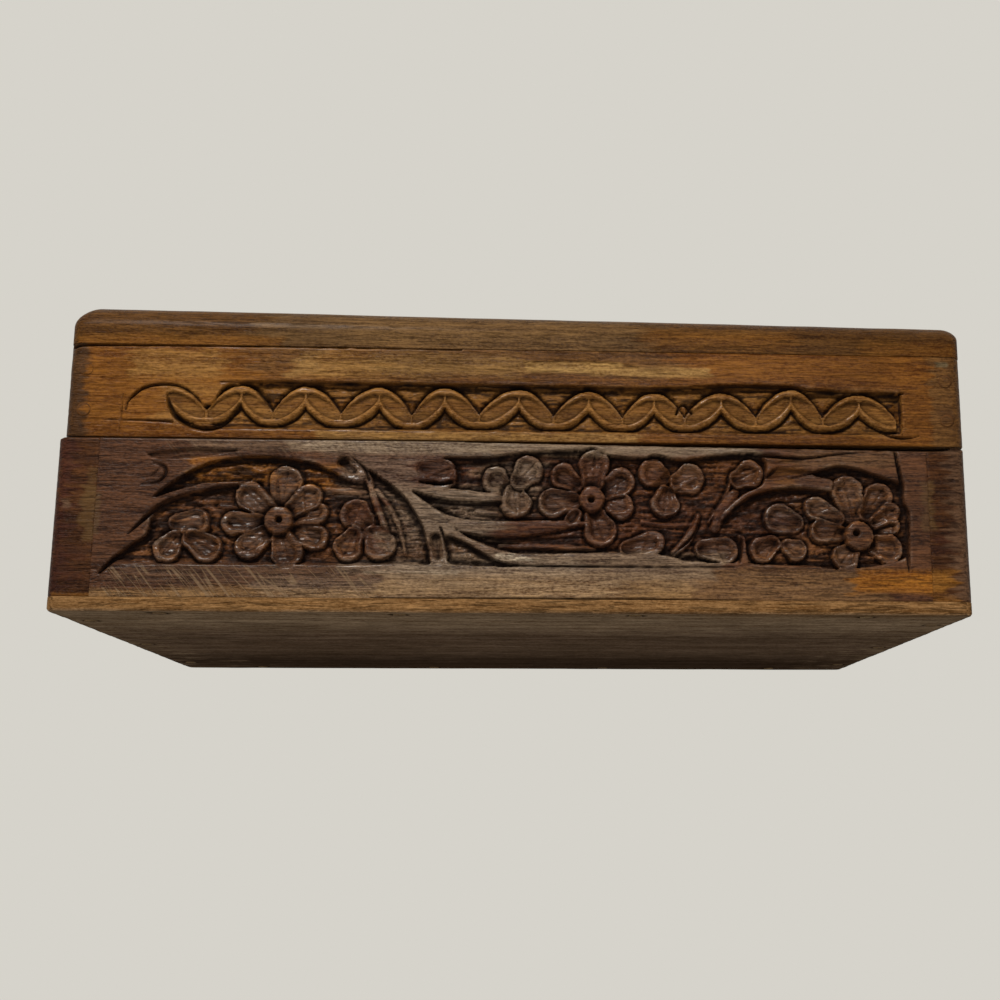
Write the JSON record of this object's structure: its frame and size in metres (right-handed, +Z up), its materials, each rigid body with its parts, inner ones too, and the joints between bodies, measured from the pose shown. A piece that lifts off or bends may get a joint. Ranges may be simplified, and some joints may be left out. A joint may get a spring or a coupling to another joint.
{
  "type": "rosary box",
  "caption": "Small hinged wooden keepsake box for a rosary, with relief-carved flowers round the base and a carved wave band round the lid.",
  "frame": {"origin": "middle of the underside, at the level the box stands on", "axes": "+Z up, +X along the long front from left to right as its viewer sees it, front towards -Y"},
  "size_m": [0.152, 0.102, 0.0525],
  "materials": {
    "base_wood": "dark walnut brown, oiled, semi-gloss",
    "lid_wood": "warm orange brown, oiled, semi-gloss",
    "bottom_wood": "dull grey brown, planed, hardly finished",
    "brass": "aged, brushed",
    "brad_steel": "dull, dark"
  },
  "bodies": {
    "base": {"bottom_panel": "bottom_wood", "base_front_board": "base_wood", "base_back_board": "base_wood", "base_left_board": "base_wood", "base_right_board": "base_wood", "bottom_brads": "brad_steel", "base_corner_brads": "brad_steel", "left_hinge_base_leaf": "brass", "right_hinge_base_leaf": "brass", "left_hinge_pin": "brass", "right_hinge_pin": "brass", "hinge_base_nails": "brass"},
    "lid": {"lid_top_board": "lid_wood", "lid_front_rail": "lid_wood", "lid_back_rail": "lid_wood", "lid_left_rail": "lid_wood", "lid_right_rail": "lid_wood", "lid_corner_brads": "brad_steel", "left_hinge_lid_leaf": "brass", "right_hinge_lid_leaf": "brass", "hinge_lid_nails": "brass"}
  },
  "joints": [
    {"name": "lid_hinge", "type": "hinge", "parent": "base", "child": "lid", "pos_m": [0, 0.0495, 0.0289], "axis": [-1, 0, 0], "range_deg": [0, 100]}
  ]
}
